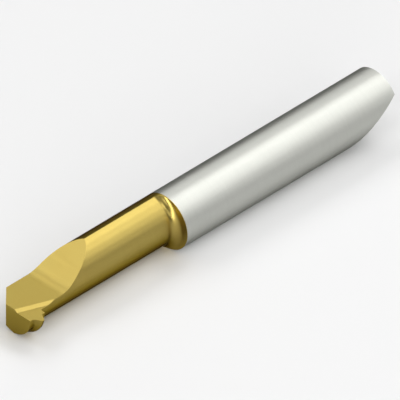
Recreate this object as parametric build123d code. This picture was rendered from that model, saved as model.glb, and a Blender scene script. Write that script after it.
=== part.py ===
from build123d import *
import math
import os

# Solid carbide insert for cutting internal threads in small bores, in millimetres.
#
# The insert is one piece, ground all over from a round carbide blank: a cylindrical shank that
# a holder clamps, an eccentric neck that leaves room for chips, and a head with one full-profile
# tooth between two lands that cut the crests of the thread.
#
# Frame: the origin is on the shank axis, in the plane of the shoulder. +X runs along the shank
# to its rear end, so the tip is at -X. -Y is the side that cuts, and +Z stands out of the rake
# face. A reach is a distance from the shank axis towards -Y.

# Shank, and the slanting face at its rear end that sets the insert's angle in the holder
shank_diameter = 6.0
shank_length = 27.85
bevel_angle = 31.1
bevel_roll = 16.3
bevel_setback = 1.3

# Neck, ground on its front side about an axis beside the shank axis
overhang = 19.95
neck_front_radius = 2.98
neck_front_reach = 1.53
shoulder_fillet = 0.8

# Head
head_width = 1.935
head_fillet = 0.28
back_chamfer = 1.81
end_clearance_angle = 6.0
land_clearance_angle = 9.0
land_clearance_depth = 0.55
land_relief_radius = 3.12
land_relief_height = 0.08

# Tooth, for a metric thread with its full profile
thread_pitch = 1.5
thread_angle = 60.0
tooth_reach = 2.945
tooth_setback = 0.985
tooth_tip_radius = 0.05
tooth_root_radius = 0.26
tooth_clearance_angle = 21.0
tooth_clearance_depth = 0.43
tooth_lean_angle = 8.0
tooth_relief_radius = 4.45
tooth_relief_sweep = 80.0

# Top of the head: the deck, the lower rake face, the wall between them and the run-out
rake_height = 0.0
deck_height = 0.25
breaker_angle = 21.6
breaker_reach = 0.0
breaker_width = 0.32
runout_angle = 30.0
runout_setback = 5.39
runout_radius = 2.9

# Sizes that follow from the ones above
shank_radius = shank_diameter / 2
full_length = overhang + shank_length
head_rear = head_width - overhang
neck_axis_y = neck_front_radius - neck_front_reach
thread_triangle = thread_pitch / (2 * math.tan(math.radians(thread_angle / 2)))
tooth_height = thread_triangle * 5 / 8
tooth_crest = thread_pitch / 8
land_reach = tooth_reach - tooth_height
clear_of_blank = 2 * shank_diameter


def across(x):
    """The plane square to the shank at x, with its own axes along +Y and +Z."""
    return Plane(origin=(x, 0, 0), x_dir=(0, 1, 0), z_dir=(1, 0, 0))


def beyond(origin, outward):
    """Everything near the insert on the outward side of a plane."""
    size = 2 * full_length
    block = Box(size, size, size, align=(Align.CENTER, Align.CENTER, Align.MIN))
    return Plane(origin=origin, z_dir=outward) * block


def rounded(face, radius, *corners):
    """A flat face with some of its corners rounded, each found by its place."""
    picked = [face.vertices().sort_by_distance(corner)[0] for corner in corners]
    return fillet(picked, radius)


def turned(corners, fillet_radius, fillet_corner, axis_y):
    """A solid turned about an axis beside the shank's, from corners given as x and radius."""
    outline = make_face(Polyline(*corners, close=True))
    outline = rounded(outline, fillet_radius, fillet_corner)
    return revolve(Pos(0, axis_y, 0) * outline, Axis((0, axis_y, 0), (1, 0, 0)))


def neck_form():
    """The turned neck, which flares through its fillet into the shoulder."""
    tip = -overhang - shank_radius
    rear = shank_length + shank_radius
    corners = [
        (tip, 0),
        (tip, neck_front_radius),
        (0, neck_front_radius),
        (0, clear_of_blank),
        (rear, clear_of_blank),
        (rear, 0),
    ]
    return turned(corners, shoulder_fillet, (0, neck_front_radius), neck_axis_y)


def land_section():
    """The head's section: flat clearance below the cutting edge, then the relief arc."""
    slope = math.tan(math.radians(land_clearance_angle))
    arc_start_y = slope * land_clearance_depth - land_reach
    arc_start_z = rake_height - land_clearance_depth
    arc_rise = land_relief_height - arc_start_z
    centre_y = arc_start_y + math.sqrt(land_relief_radius**2 - arc_rise**2)
    arc_angle = math.degrees(math.asin(arc_rise / land_relief_radius))
    bottom_z = land_relief_height - land_relief_radius
    top_y = arc_start_y - slope * (shank_radius - arc_start_z)
    centre = (centre_y, land_relief_height)
    outline = CenterArc(centre, land_relief_radius, 180 + arc_angle, 90 - arc_angle)
    outline += Polyline(
        (centre_y, bottom_z),
        (clear_of_blank, bottom_z),
        (clear_of_blank, shank_radius),
        (top_y, shank_radius),
        (arc_start_y, arc_start_z),
    )
    return make_face(outline)


def head_form():
    """The head with its two lands, and the fillet from its rear face down to the neck."""
    body = extrude(across(-overhang) * land_section(), head_width)
    collar_front = head_rear - head_fillet
    collar_rear = head_rear + 2 * head_fillet
    collar_radius = neck_front_radius + 2 * head_fillet
    corners = [
        (collar_front, 0),
        (collar_front, collar_radius),
        (head_rear, collar_radius),
        (head_rear, neck_front_radius),
        (collar_rear, neck_front_radius),
        (collar_rear, 0),
    ]
    collar = turned(corners, head_fillet, (head_rear, neck_front_radius), neck_axis_y)
    foot = extrude(across(collar_front) * land_section(), collar_rear - collar_front)
    return body + (collar & foot)


def tooth_profile():
    """The tooth as the cutting edge has it, in the rake plane, with a root inside the head."""
    middle = tooth_setback - overhang
    crest_half = tooth_crest / 2
    foot_half = crest_half + tooth_height * math.tan(math.radians(thread_angle / 2))
    root_half = foot_half + tooth_root_radius
    root_reach = land_reach - tooth_height
    profile = make_face(
        Polyline(
            (middle - root_half, -root_reach),
            (middle - root_half, -land_reach),
            (middle - foot_half, -land_reach),
            (middle - crest_half, -tooth_reach),
            (middle + crest_half, -tooth_reach),
            (middle + foot_half, -land_reach),
            (middle + root_half, -land_reach),
            (middle + root_half, -root_reach),
            close=True,
        )
    )
    feet = [(middle - foot_half, -land_reach), (middle + foot_half, -land_reach)]
    profile = rounded(profile, tooth_root_radius, *feet)
    tips = [(middle - crest_half, -tooth_reach), (middle + crest_half, -tooth_reach)]
    return rounded(profile, tooth_tip_radius, *tips)


def tooth_form():
    """The tooth, whose profile falls straight for the clearance and then swings in under the head."""
    clearance = math.radians(tooth_clearance_angle)
    lean = math.tan(math.radians(tooth_lean_angle))
    fall = Vector(lean, math.tan(clearance), -1) * tooth_clearance_depth
    profile = Pos(0, 0, rake_height) * tooth_profile()
    straight = extrude(profile, fall.length, dir=fall.normalized())
    tip = Vector(tooth_setback - overhang, -tooth_reach, rake_height) + fall
    centre = tip + Vector(0, math.cos(clearance), math.sin(clearance)) * tooth_relief_radius
    relief_axis = Axis(centre, (1, 0, lean))
    return straight + revolve(Pos(fall) * profile, relief_axis, tooth_relief_sweep)


def deck_cut():
    """What lies over the flat deck and over the run-out that climbs to the neck."""
    front = -overhang - clear_of_blank
    kink = runout_setback - overhang
    climb = clear_of_blank * math.tan(math.radians(runout_angle))
    outline = make_face(
        Polyline(
            (front, deck_height),
            (kink, deck_height),
            (kink + clear_of_blank, deck_height + climb),
            (front, deck_height + climb),
            close=True,
        )
    )
    outline = rounded(outline, runout_radius, (kink, deck_height))
    return extrude(Plane.XZ * outline, clear_of_blank, both=True)


def breaker_cut():
    """What lies over the rake face, back to the sloping wall that curls the chip."""
    turn = math.radians(breaker_angle)
    wall_plane = Plane(
        origin=(-overhang, -breaker_reach, 0),
        x_dir=(-math.sin(turn), -math.cos(turn), 0),
        z_dir=(-math.cos(turn), math.sin(turn), 0),
    )
    step = deck_height - rake_height
    outline = make_face(
        Polyline(
            (-breaker_width, deck_height + step),
            (breaker_width, rake_height),
            (clear_of_blank, rake_height),
            (clear_of_blank, deck_height + step),
            close=True,
        )
    )
    return extrude(wall_plane * outline, full_length, both=True)


def end_clearance():
    """What the front face leaves off below the rake face, so that its edge alone meets the work."""
    tilt = math.radians(end_clearance_angle)
    return beyond((-overhang, 0, rake_height), (-math.cos(tilt), 0, -math.sin(tilt)))


def back_corner():
    """The bevelled corner between the front face and the back of the head."""
    return beyond((-overhang, shank_radius - back_chamfer, 0), (-1, 1, 0))


def rear_bevel():
    """What the slanting cut takes off the lower side of the shank's rear end."""
    slant = math.radians(bevel_angle)
    roll = math.radians(bevel_roll)
    outward = (
        math.sin(slant),
        -math.cos(slant) * math.sin(roll),
        -math.cos(slant) * math.cos(roll),
    )
    return beyond((shank_length - bevel_setback, 0, 0), outward)


def threading_insert():
    """The whole insert, ground from its round blank."""
    blank = extrude(across(-overhang) * Circle(shank_radius), full_length)
    insert = blank & (neck_form() + head_form() + tooth_form())
    insert -= deck_cut()
    insert -= breaker_cut()
    insert -= end_clearance()
    insert -= back_corner()
    insert -= rear_bevel()
    return insert


os.makedirs("parts", exist_ok=True)
part = threading_insert()
part.label = "threading_insert"
export_step(part, "parts/threading_insert.step")

box = part.bounding_box()
print(f"threading_insert: volume {part.volume:.1f} mm3, {len(part.solids())} solid")
print(f"overall {box.size.X:.2f} x {box.size.Y:.2f} x {box.size.Z:.2f} mm")
print(f"land reach {land_reach:.3f} mm, tooth height {tooth_height:.3f} mm")
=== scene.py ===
# %% [markdown]
# # A threading insert, dressed and lit
#
# The object is a small solid carbide tool that cuts threads inside a bore. It is one rod of cemented
# carbide, 6 mm across. The shank is bare, and the neck and the head have a gold coating of titanium
# nitride a few micrometres thick. This lesson gives the rod its two finishes, lights it like a small
# product in a studio, and sets up a camera that sees it as the photograph does.

import math

import bpy
from mathutils import Matrix, Vector


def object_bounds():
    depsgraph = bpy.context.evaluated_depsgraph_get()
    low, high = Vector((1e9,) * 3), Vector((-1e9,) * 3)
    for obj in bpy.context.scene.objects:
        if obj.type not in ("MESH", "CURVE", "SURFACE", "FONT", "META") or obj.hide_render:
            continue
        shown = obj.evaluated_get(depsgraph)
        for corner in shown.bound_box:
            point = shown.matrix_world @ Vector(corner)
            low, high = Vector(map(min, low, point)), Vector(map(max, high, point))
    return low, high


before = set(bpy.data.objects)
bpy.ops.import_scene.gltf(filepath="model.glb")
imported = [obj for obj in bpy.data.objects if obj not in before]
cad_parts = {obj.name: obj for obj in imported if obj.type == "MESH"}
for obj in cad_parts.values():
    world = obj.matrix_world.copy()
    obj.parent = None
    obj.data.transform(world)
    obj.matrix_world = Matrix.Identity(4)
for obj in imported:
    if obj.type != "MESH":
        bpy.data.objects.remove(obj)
cad_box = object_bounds()

mm = 0.001
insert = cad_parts["threading_insert"]
shank_radius = cad_box[1].y
tip_x = cad_box[0].x
rear_x = cad_box[1].x
print(f"shank radius {shank_radius / mm:.2f} mm, from {tip_x / mm:.2f} to {rear_x / mm:.2f} mm")

# %% [markdown]
# ## Camera
#
# The photograph is a parallel view, so the camera is orthographic and its distance changes nothing. Two
# angles turn it, and one scale and one point place the picture: the point is where the origin of the part,
# on the shank's axis in the plane of the shoulder, falls in the photograph.

# %% Camera
view_azimuth = math.radians(-44.25)
view_elevation = math.radians(37.85)
picture_width_px = 400
px_per_mm = 10.55
origin_px = Vector((165.37, 221.31))
camera_distance = 0.3
near_clip = 1.0 * mm

to_camera = Vector(
    (
        math.sin(view_azimuth) * math.cos(view_elevation),
        -math.cos(view_azimuth) * math.cos(view_elevation),
        math.sin(view_elevation),
    )
)
picture_right = Vector((0, 0, 1)).cross(to_camera).normalized()
picture_up = to_camera.cross(picture_right)
m_per_px = mm / px_per_mm
centre_px = Vector((picture_width_px / 2, picture_width_px / 2))
aim = picture_right * (centre_px.x - origin_px.x) * m_per_px
aim += picture_up * (origin_px.y - centre_px.y) * m_per_px

camera_data = bpy.data.cameras.new("camera")
camera_data.type = "ORTHO"
camera_data.ortho_scale = picture_width_px * m_per_px
camera_data.clip_start = near_clip
camera = bpy.data.objects.new("camera", camera_data)
camera.matrix_world = Matrix.Translation(aim + to_camera * camera_distance) @ Matrix(
    (picture_right, picture_up, to_camera)
).transposed().to_4x4()
bpy.context.scene.collection.objects.link(camera)
bpy.context.scene.camera = camera
print(f"the picture is {camera_data.ortho_scale / mm:.2f} mm wide")


# %% [markdown]
# ## Helpers for materials
#
# Colours are written as sRGB hex, as a colour picker shows them, and one function turns them to the
# linear values that Blender's shaders work in. Another adds a node with its settings and its links, and a
# third starts an empty material. Each finish then needs only the lines that are its own.

# %% Helpers for materials
def linear(hex_colour):
    """The linear RGBA of an sRGB colour written as six hex digits."""
    channels = [int(hex_colour[i : i + 2], 16) / 255 for i in (0, 2, 4)]
    bright = [c / 12.92 if c <= 0.04045 else ((c + 0.055) / 1.055) ** 2.4 for c in channels]
    return (*bright, 1.0)


def add(tree, kind, settings=None, **inputs):
    """A new node of a kind. An input, by its name or its place as _0, is a value or a node's output."""
    node = tree.nodes.new("ShaderNode" + kind)
    for name, value in (settings or {}).items():
        setattr(node, name, value)
    for name, value in inputs.items():
        key = int(name[1:]) if name[0] == "_" else name.replace("_", " ")
        if isinstance(value, bpy.types.NodeSocket):
            tree.links.new(value, node.inputs[key])
        else:
            node.inputs[key].default_value = value
    return node


def new_material(name):
    """An empty node material and its output node."""
    material = bpy.data.materials.new(name)
    material.use_nodes = True
    material.node_tree.nodes.clear()
    return material, add(material.node_tree, "OutputMaterial")


# %% [markdown]
# ## Ground carbide, bare and coated
#
# The rod is one piece of cemented carbide: grains of tungsten carbide, about a thousandth of a millimetre
# across, held together by cobalt. It is ground all over with a diamond wheel and is a dense, slightly warm
# grey that never takes a mirror polish. From the shoulder to the tip it then gets a coating of titanium
# nitride in a vacuum chamber, a few micrometres thick and the colour of pale gold. The shank is masked
# there, so the gold stops in a sharp line at the shoulder.
#
# The coating could be a second piece laid over the first. It is far too thin for that, so one material
# dresses the whole rod and changes its colour where the place along the rod passes the shoulder.

# %% Carbide colours and the line of the coating
bare_carbide = linear("B8B9B3")
nitride_gold = linear("A1904F")
nitride_amber = linear("A18C49")
mask_line_x = 0.01 * mm
mask_line_width = 0.04 * mm


def coated_part(tree, place):
    """1 where the rod is coated, 0 where it is bare, with the mask's soft line between them."""
    along = add(tree, "SeparateXYZ", Vector=place).outputs["X"]
    edge = add(
        tree,
        "MapRange",
        {"interpolation_type": "SMOOTHSTEP"},
        Value=along,
        From_Min=mask_line_x,
        From_Max=mask_line_x + mask_line_width,
        To_Min=1.0,
        To_Max=0.0,
    )
    return edge.outputs["Result"]


print(f"the coating covers {-tip_x / mm:.2f} mm and leaves {rear_x / mm:.2f} mm of the shank bare")

# %% [markdown]
# ### Grinding marks
#
# A round rod is ground while it turns, so the wheel leaves fine rings that run round it and never along it.
# Rings can be drawn with a wave texture, but a wave repeats and looks printed. Noise that is squeezed along
# the rod and stretched across it gives rings of uneven width that fade in and out, as the wheel's grit
# leaves them. Real marks are a hundredth of a millimetre apart, far too fine for this picture, so they are
# drawn about thirty times coarser and very faint.

# %% Grinding marks
mark_spacing = 0.32 * mm
mark_length = 7.0 * mm
mark_depth = 0.004 * mm
mark_detail = 3.0
mark_raggedness = 0.6


def grinding_marks(tree, place):
    """Uneven rings round the rod, from 0 in a groove to 1 on a ridge."""
    squeeze = (1 / mark_spacing, 1 / mark_length, 1 / mark_length)
    squeezed = add(tree, "Mapping", Vector=place, Scale=squeeze).outputs["Vector"]
    rings = add(
        tree,
        "TexNoise",
        Vector=squeezed,
        Scale=1.0,
        Detail=mark_detail,
        Roughness=mark_raggedness,
    )
    return rings.outputs["Fac"]


print(f"rings {mark_spacing / mm:.2f} mm apart and {mark_depth / mm * 1000:.0f} micrometres deep")

# %% [markdown]
# ### Rubbed edges and their painted highlight
#
# Edges are touched most: the sharp corners of a ground tool are honed and rubbed, so they are made smoother
# than the faces beside them, and a thin painted highlight is laid along them in the colour. Wear is often
# painted from a mesh's own corners, but this mesh is coarse. The Bevel node works it out while rendering:
# where the normal of an imagined rounding differs from the surface's own, there is an edge. How well two
# normals agree is their dot product, which is 1 where they are the same.

# %% Rubbed edges and their painted highlight
edge_width = 0.06 * mm
edge_samples = 6
still_flat = 0.98
full_edge = 0.80


def rubbed_edges_and_painted_highlight(tree):
    """Mask of polish and painted highlight: 0 on open faces, 1 on the last hundredths of a mm to an edge.
    """
    rounding = add(tree, "Bevel", {"samples": edge_samples}, Radius=edge_width).outputs["Normal"]
    own_normal = add(tree, "NewGeometry").outputs["Normal"]
    agree = add(tree, "VectorMath", {"operation": "DOT_PRODUCT"}, _0=rounding, _1=own_normal)
    edge = add(tree, "MapRange", Value=agree.outputs["Value"], From_Min=still_flat, From_Max=full_edge)
    return edge.outputs["Result"]


print(f"edges catch the light over {edge_width / mm:.2f} mm")

# %% [markdown]
# ### The colour of the surface
#
# Metal has no colour of its own under its shine: all it sends back is reflection, tinted by its base
# colour. So the carbide's dull grey and the nitride's gold are both base colours. Four things break up the
# even tone. Both finishes have a fine grain, the carbide from its grains and the coating from the tiny
# droplets that it grows from. The coating is a shade more amber where it grew thicker. The ridges of the
# grinding marks are painted a little lighter than the grooves, which is painted shade in the grooves, and
# the edges are painted the lightest of all, which is a painted highlight.
#
# All of this could be painted on a picture wrapped round the rod. Noise in the rod's own space is used
# instead, because it has no seam and no pixels. The real grain is a few micrometres across, so it too is
# drawn coarser, at about one pixel of the photograph.

# %% The colour of the surface
grain_size = 0.12 * mm
grain_detail = 2.0
cloud_size = 5.0 * mm
cloud_detail = 1.0
painted_groove_shade = 0.05
grain_shade = 0.04
painted_edge_highlight = 0.12


def surface_colour(tree, place, coated, marks, edges):
    """Grey or gold with grain, lighter on ridges, painted shade in the grooves, a painted highlight on
    edges.
    """
    grain = add(tree, "TexNoise", Vector=place, Scale=1 / grain_size, Detail=grain_detail).outputs["Fac"]
    clouds = add(tree, "TexNoise", Vector=place, Scale=1 / cloud_size, Detail=cloud_detail).outputs["Fac"]
    blend = {"data_type": "RGBA"}
    gold = add(tree, "Mix", blend, _0=clouds, _6=nitride_gold, _7=nitride_amber).outputs[2]
    colour = add(tree, "Mix", blend, _0=coated, _6=bare_carbide, _7=gold).outputs[2]
    # Painted shade: the ridges of the marks are painted lighter and their grooves darker.
    on_marks = add(tree, "MapRange", Value=marks, To_Min=1 - painted_groove_shade, To_Max=1 + painted_groove_shade)
    on_grain = add(tree, "MapRange", Value=grain, To_Min=1 - grain_shade, To_Max=1 + grain_shade)
    # Painted highlight: the colour is made lighter along the edges.
    on_edges = add(tree, "MapRange", Value=edges, To_Min=1.0, To_Max=1 + painted_edge_highlight)
    times = {"operation": "MULTIPLY"}
    level = add(tree, "Math", times, _0=on_marks.outputs[0], _1=on_grain.outputs[0]).outputs[0]
    level = add(tree, "Math", times, _0=level, _1=on_edges.outputs[0]).outputs[0]
    return add(tree, "VectorMath", {"operation": "SCALE"}, _0=colour, Scale=level).outputs[0]


print(f"grain {grain_size / mm:.2f} mm and clouds {cloud_size / mm:.0f} mm across")

# %% [markdown]
# ### The polish of the surface
#
# Ground carbide is satin, not bright, so its roughness is 0.4. The coating fills the finest grooves and is
# smoother, near 0.3, which draws its highlights narrower. One number for each would do if they were
# flawless. A real surface never shines so evenly, so the roughness goes up and down with the grinding
# marks, and the rubbed edges are smoother than the faces beside them.

# %% The polish of the surface
bare_roughness = 0.40
coated_roughness = 0.31
mark_roughness = 0.05
edge_polish = 0.08


def surface_roughness(tree, coated, marks, edges):
    """Satin carbide and the smoother coating, with the marks and the polished edges in them."""
    base = add(tree, "Mix", _0=coated, _2=bare_roughness, _3=coated_roughness).outputs[0]
    on_marks = add(tree, "MapRange", Value=marks, To_Min=-mark_roughness, To_Max=mark_roughness)
    on_edges = add(tree, "MapRange", Value=edges, To_Min=0.0, To_Max=-edge_polish)
    plus = {"operation": "ADD"}
    rough = add(tree, "Math", plus, _0=base, _1=on_marks.outputs[0]).outputs[0]
    return add(tree, "Math", plus, _0=rough, _1=on_edges.outputs[0]).outputs[0]


print(f"roughness {bare_roughness:.2f} on the bare shank and {coated_roughness:.2f} on the coating")

# %% [markdown]
# ### The finished material
#
# A metal could be mixed by hand from glossy shaders, but the Principled shader already behaves as one when
# it is fully metallic. The grinding marks also go into its normal as a very shallow bump. The dark Specular
# Tint keeps the rod's outline from turning white, as the reflection of a clean metal does where the eye
# skims it: the pits between the grains and the grooves swallow that light.

# %% The finished material
skimming_tint = linear("3F3F3F")


def ground_carbide():
    """Cemented carbide off a diamond wheel: satin, ringed with marks, gold in front of the shoulder."""
    material, output = new_material("ground_carbide_nitride_coated_in_front")
    tree = material.node_tree
    place = add(tree, "TexCoord").outputs["Object"]
    coated = coated_part(tree, place)
    marks = grinding_marks(tree, place)
    edges = rubbed_edges_and_painted_highlight(tree)
    surface = add(
        tree,
        "BsdfPrincipled",
        Base_Color=surface_colour(tree, place, coated, marks, edges),
        Metallic=1.0,
        Roughness=surface_roughness(tree, coated, marks, edges),
        Specular_Tint=skimming_tint,
        Normal=add(tree, "Bump", Distance=mark_depth, Height=marks).outputs["Normal"],
    )
    tree.links.new(surface.outputs["BSDF"], output.inputs["Surface"])
    return material


insert.material_slots[0].material = ground_carbide()
print(f"{insert.name} is dressed with {insert.material_slots[0].material.name}")

# %% [markdown]
# ## Floor
#
# The photograph shows no floor, only white, so the rod is laid on plain white paper. A backdrop that curves
# up behind would hide the horizon, but this camera looks down, so one flat sheet fills its picture. The
# paper is matt and catches a soft shadow. It touches the lowest line of the shank, so its height comes from
# the CAD.

# %% Floor
paper_white = linear("ECECEC")
sheet_width = 4.0

bpy.ops.object.select_all(action="DESELECT")
bpy.ops.mesh.primitive_plane_add(size=sheet_width, location=(0, 0, -shank_radius))
floor = bpy.context.object
floor.name = "floor"


def white_paper():
    """Matt white paper, which sends light back evenly to all sides."""
    material, output = new_material("matt_white_paper")
    tree = material.node_tree
    surface = add(tree, "BsdfDiffuse", Color=paper_white)
    tree.links.new(surface.outputs[0], output.inputs["Surface"])
    return material


floor.data.materials.append(white_paper())
print(f"the floor lies {shank_radius / mm:.1f} mm below the axis")

# %% [markdown]
# ## Light
#
# Polished or satin metal shows its surroundings, so lighting it means placing the things that it shows. A
# round rod shows a whole ring of directions at once, from the floor in front, over the top, to the floor
# behind. Seven softboxes stand along that ring, and the brightest of them, nearly overhead, draws the broad
# light band on the shank. The wall, the flats and the slope of the head face other ways, so three more
# softboxes hang above the rod. Five stand towards the tip, where they light the hollow of the shoulder and
# the front of the head. The two lowest of them are wide, because a hollow shows much of the room at once.
# The world is black, because the softboxes do all the work. A picture of a studio wrapped round the world
# could light the rod at one stroke, but each softbox can be placed and dimmed by itself until the rod shows
# what it shows in the photograph.

# %% Light
lamp_distance = 0.6
lamp_side = 0.25
world_black = linear("000000")


def softbox(name, direction, power, width=lamp_side, height=lamp_side):
    """A soft rectangular lamp that looks at the rod from a direction. Power in watts, sides in metres."""
    data = bpy.data.lights.new(name, "AREA")
    data.shape = "RECTANGLE"
    data.size = width
    data.size_y = height
    data.energy = power
    lamp = bpy.data.objects.new(name, data)
    away = Vector(direction).normalized()
    lamp.location = away * lamp_distance
    lamp.rotation_euler = away.to_track_quat("Z", "Y").to_euler()
    bpy.context.scene.collection.objects.link(lamp)
    print(f"{name}: {power:.2f} W from {tuple(round(part, 2) for part in away)}")


softbox("front_low", (0.55, -0.82, 0.15), 0.12, height=0.18)
softbox("front", (0.55, -0.73, 0.40), 0.25)
softbox("front_high", (0.55, -0.54, 0.64), 0.35)
softbox("over_front", (0.55, -0.26, 0.79), 0.50)
softbox("overhead", (0.55, 0.09, 0.83), 0.65)
softbox("over_back", (0.55, 0.42, 0.72), 0.25)
softbox("back", (0.55, 0.70, 0.46), 0.25)
softbox("above", (-0.15, -0.02, 0.99), 0.20)
softbox("above_front", (0.08, -0.52, 0.85), 0.65)
softbox("above_back", (0.20, 0.66, 0.73), 0.50)
softbox("tip_back", (-0.25, 0.57, 0.78), 0.55)
softbox("tip_above", (-0.66, -0.25, 0.71), 0.50)
softbox("tip_side", (-0.12, -0.87, 0.48), 0.40)
softbox("tip_front", (-0.74, -0.66, 0.13), 1.80, width=0.50, height=0.16)
softbox("tip", (-0.98, -0.02, 0.18), 1.40, width=0.30, height=0.21)

world = bpy.data.worlds.new("dark_studio")
bpy.context.scene.world = world
world.use_nodes = True
world.node_tree.nodes["Background"].inputs["Color"].default_value = world_black
bpy.context.scene.view_settings.view_transform = "Standard"
